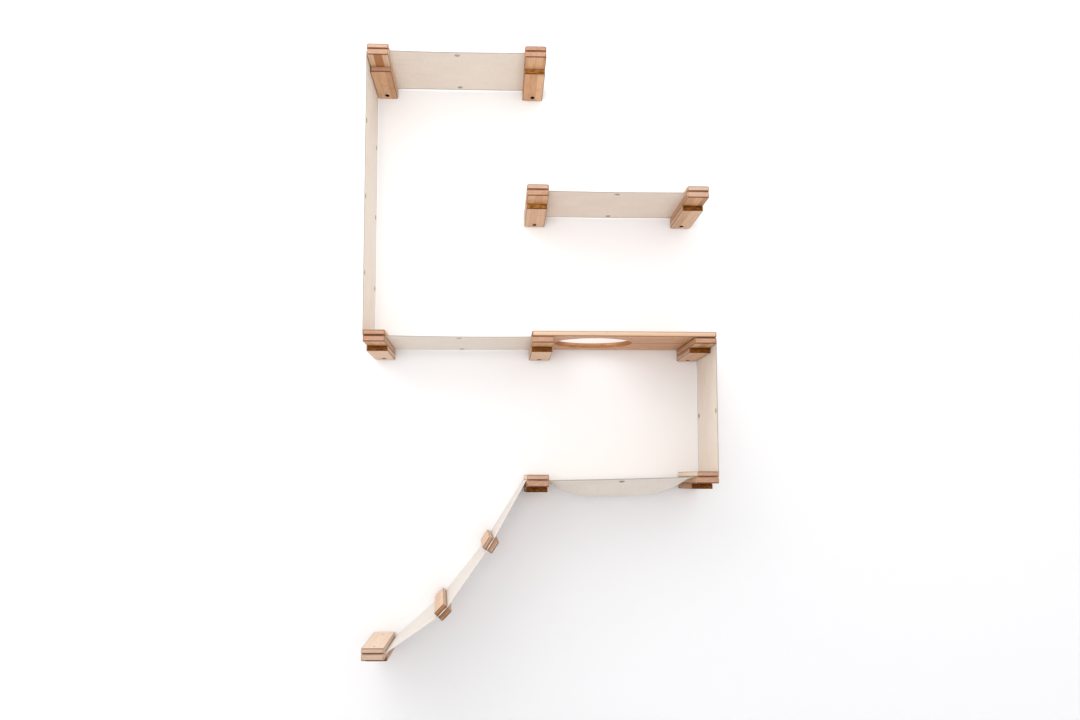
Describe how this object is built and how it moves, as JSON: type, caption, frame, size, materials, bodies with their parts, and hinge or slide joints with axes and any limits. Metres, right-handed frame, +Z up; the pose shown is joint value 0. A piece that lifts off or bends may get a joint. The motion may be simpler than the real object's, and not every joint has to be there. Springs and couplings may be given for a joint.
{
  "type": "cat condo",
  "caption": "Wall-mounted cat climbing set: bamboo brackets clamp canvas hammocks and upright drops, a shelf with a round escape hatch, and a hanging canvas ramp with rungs.",
  "frame": {"origin": "where the centre bracket's wall screw meets the wall plane", "axes": "+X to the right along the wall, +Y into the wall, +Z up; the front faces -Y"},
  "size_m": [0.8804, 0.2794, 1.5313],
  "materials": {
    "bamboo_plank": "laminated bamboo strips, sanded and oiled",
    "bamboo_board": "laminated bamboo board, sanded and oiled",
    "bamboo_slat": "bamboo slat with rounded edges, sanded and oiled",
    "cotton_canvas": "undyed cotton duck, plain weave",
    "eyelet_nickel": "nickel-plated eyelet, satin",
    "zinc_screw": "zinc-plated steel"
  },
  "bodies": {
    "root": {"top_left_cap": "bamboo_plank", "top_left_rail": "bamboo_plank", "top_left_block": "bamboo_plank", "top_right_cap": "bamboo_plank", "top_right_rail": "bamboo_plank", "top_right_block": "bamboo_plank", "side_left_cap": "bamboo_plank", "side_left_rail": "bamboo_plank", "side_left_block": "bamboo_plank", "side_right_cap": "bamboo_plank", "side_right_rail": "bamboo_plank", "side_right_block": "bamboo_plank", "middle_left_cap": "bamboo_plank", "middle_left_rail": "bamboo_plank", "middle_left_block": "bamboo_plank", "middle_centre_rail": "bamboo_plank", "middle_centre_block": "bamboo_plank", "middle_right_rail": "bamboo_plank", "middle_right_block": "bamboo_plank", "lounge_left_cap": "bamboo_plank", "lounge_left_rail": "bamboo_plank", "lounge_left_block": "bamboo_plank", "lounge_right_cap": "bamboo_plank", "lounge_right_rail": "bamboo_plank", "lounge_right_block": "bamboo_plank", "ramp_foot_cap": "bamboo_plank", "ramp_foot_rail": "bamboo_plank", "ramp_foot_block": "bamboo_plank", "hatch_shelf": "bamboo_board", "top_hammock": "cotton_canvas", "left_drop": "cotton_canvas", "middle_hammock": "cotton_canvas", "side_hammock": "cotton_canvas", "right_drop": "cotton_canvas", "lounge_hammock": "cotton_canvas", "ramp_end_tabs": "cotton_canvas", "top_hammock_eyelets": "eyelet_nickel", "middle_hammock_eyelets": "eyelet_nickel", "side_hammock_eyelets": "eyelet_nickel", "lounge_hammock_eyelets": "eyelet_nickel", "left_drop_upper_eyelets": "eyelet_nickel", "left_drop_middle_eyelets": "eyelet_nickel", "left_drop_lower_eyelets": "eyelet_nickel", "right_drop_eyelets": "eyelet_nickel", "cap_screws": "zinc_screw", "shelf_screws": "zinc_screw"},
    "ramp_upper": {"ramp_upper_canvas": "cotton_canvas"},
    "rung_1": {"rung_1_tread": "bamboo_slat", "rung_1_backer": "bamboo_slat", "rung_1_strip": "cotton_canvas", "rung_1_screws": "zinc_screw"},
    "ramp_middle": {"ramp_middle_canvas": "cotton_canvas"},
    "rung_2": {"rung_2_tread": "bamboo_slat", "rung_2_backer": "bamboo_slat", "rung_2_strip": "cotton_canvas", "rung_2_screws": "zinc_screw"},
    "ramp_lower": {"ramp_lower_canvas": "cotton_canvas"}
  },
  "joints": [
    {"name": "ramp_sway", "type": "hinge", "parent": "root", "child": "ramp_upper", "pos_m": [-0.0413, -0.136, -0.34055], "axis": [0, 1, 0], "range_deg": [-5, 5], "stiffness_Nm_per_rad": 40},
    {"name": "rung_1_tilt", "type": "hinge", "parent": "ramp_upper", "child": "rung_1", "pos_m": [-0.12155, -0.136, -0.47787], "axis": [-0.0294, 0.9994, 0.0185], "range_deg": [-6.03, 6.03]},
    {"name": "ramp_middle_fold", "type": "hinge", "parent": "rung_1", "child": "ramp_middle", "pos_m": [-0.13989, -0.136, -0.50697], "axis": [-0.0294, 0.9994, 0.0185], "range_deg": [-6.03, 6.03]},
    {"name": "rung_2_tilt", "type": "hinge", "parent": "ramp_middle", "child": "rung_2", "pos_m": [-0.23459, -0.136, -0.63487], "axis": [-0.0524, 0.9973, 0.0512], "range_deg": [-4.71, 4.71]},
    {"name": "ramp_lower_fold", "type": "hinge", "parent": "rung_2", "child": "ramp_lower", "pos_m": [-0.25861, -0.136, -0.65949], "axis": [-0.0524, 0.9973, 0.0512], "range_deg": [-4.71, 4.71]}
  ],
  "couplings": [
    {"joint": "rung_1_tilt", "follows": "ramp_sway", "ratio": -1.1468},
    {"joint": "ramp_middle_fold", "follows": "ramp_sway", "ratio": -1.1468},
    {"joint": "rung_2_tilt", "follows": "ramp_sway", "ratio": 0.88293},
    {"joint": "ramp_lower_fold", "follows": "ramp_sway", "ratio": 0.88293}
  ]
}
